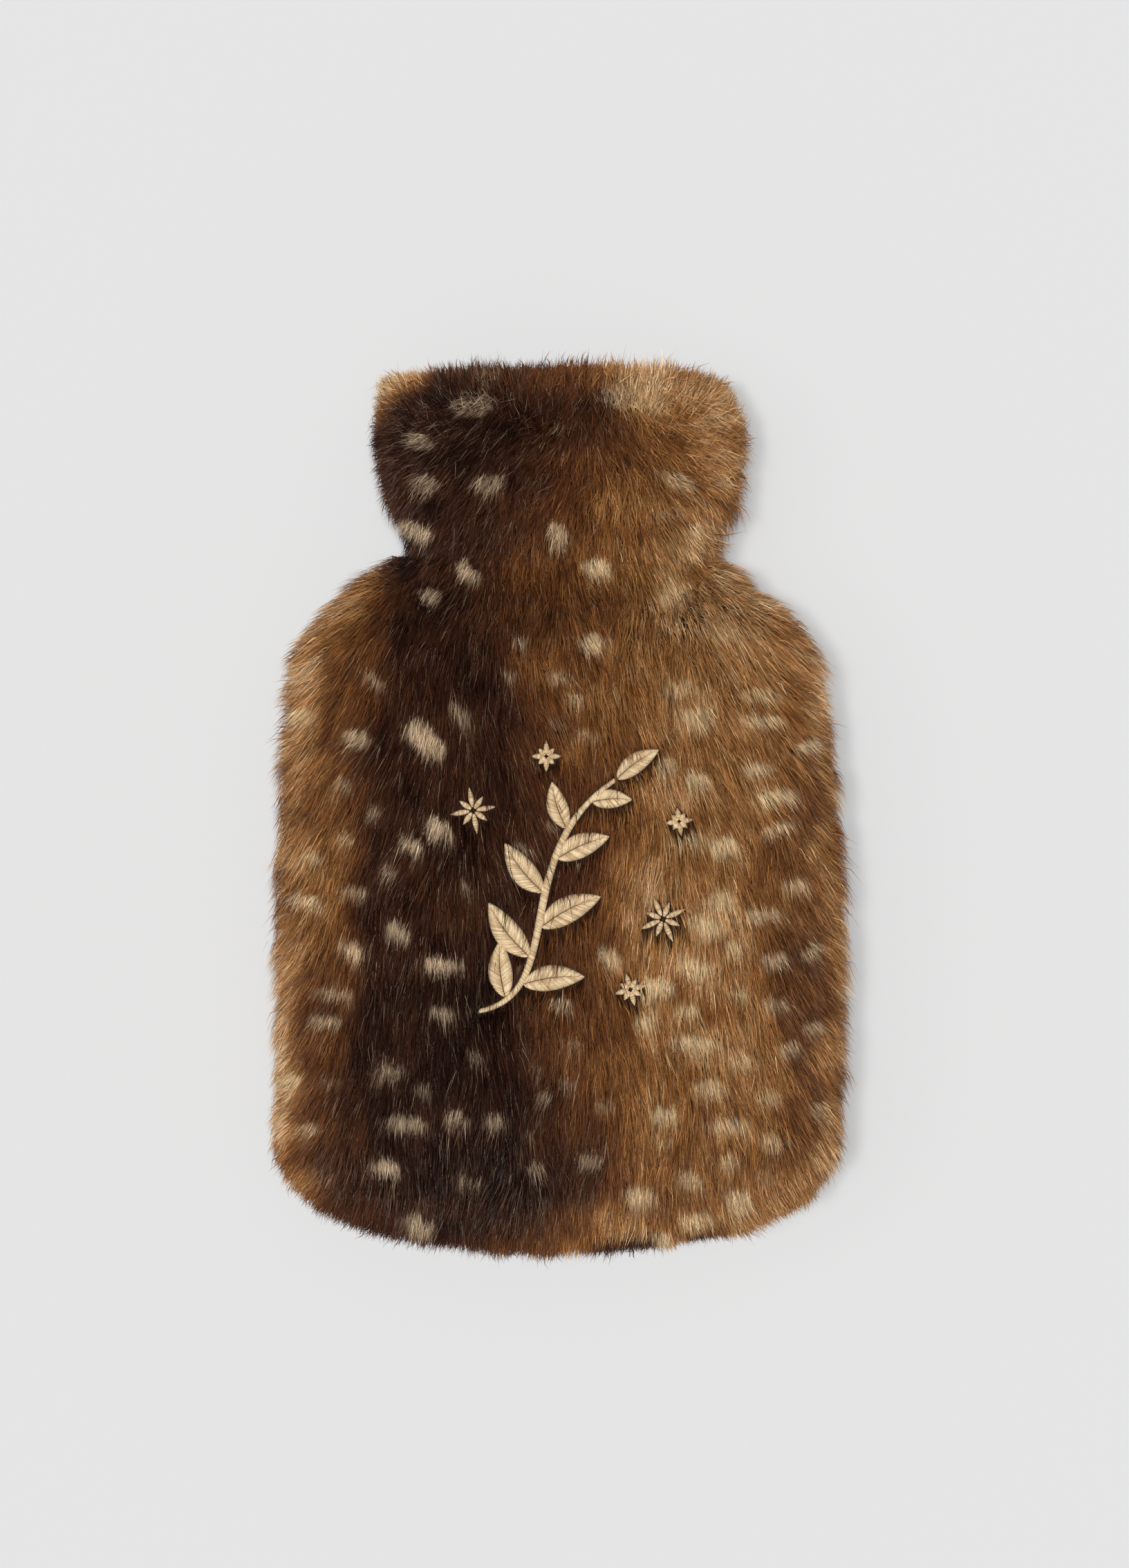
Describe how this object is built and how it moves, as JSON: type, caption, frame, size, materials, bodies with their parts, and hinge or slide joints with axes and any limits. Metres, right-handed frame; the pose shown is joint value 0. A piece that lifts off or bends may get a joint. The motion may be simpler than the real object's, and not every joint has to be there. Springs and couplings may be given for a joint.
{
  "type": "hot water bottle cover",
  "caption": "Bottle-shaped pouch of long dyed pile cloth that a filled hot water bottle slides into through its wide collar, lying on its back.",
  "frame": {"origin": "centre of the bounding box, on the surface that the back lies on", "axes": "+X across the cover to the right of its face, +Y up its length towards the mouth of the collar, +Z out of its face"},
  "size_m": [0.216, 0.34, 0.0647],
  "materials": {
    "front_pile": "long combed pile, dark in the middle, tan at the sides, with pale flecks",
    "back_pile": "long combed pile, dark brown",
    "gold_thread": "satin stitched thread"
  },
  "bodies": {
    "root": {"front_panel": "front_pile", "back_panel": "back_pile"}
  },
  "joints": []
}
